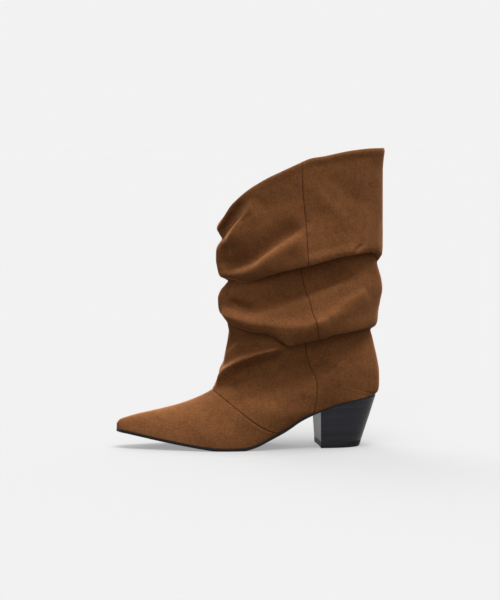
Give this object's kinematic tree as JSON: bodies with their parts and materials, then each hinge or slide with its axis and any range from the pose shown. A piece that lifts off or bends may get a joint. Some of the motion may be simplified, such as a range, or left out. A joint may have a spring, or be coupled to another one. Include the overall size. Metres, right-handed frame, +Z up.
{
  "type": "slouch boot",
  "caption": "Left slouch boot in soft suede: pointed toe, stacked block heel, and a wide slanted shaft that sags in deep rolls around the ankle.",
  "frame": {"origin": "on the floor, at the middle of the boot's footprint box", "axes": "+Z up, toe towards -X and heel towards +X, the outer side of the foot towards -Y"},
  "size_m": [0.2694, 0.0918, 0.2979],
  "materials": {
    "suede": "matt brown suede with a short soft nap",
    "lining": "smooth matt tan lining inside the shaft and foot",
    "sock_lining": "smooth satin tan insole cover",
    "sole": "black satin resin sole with a fine matt tread field",
    "stacked_heel": "black stained and waxed layers, satin, with fine horizontal layer lines",
    "heel_lift": "matt black rubber lift"
  },
  "bodies": {
    "root": {"upper": "suede", "outsole": "sole", "insole": "sock_lining", "heel": "stacked_heel", "top_piece": "heel_lift"}
  },
  "joints": []
}
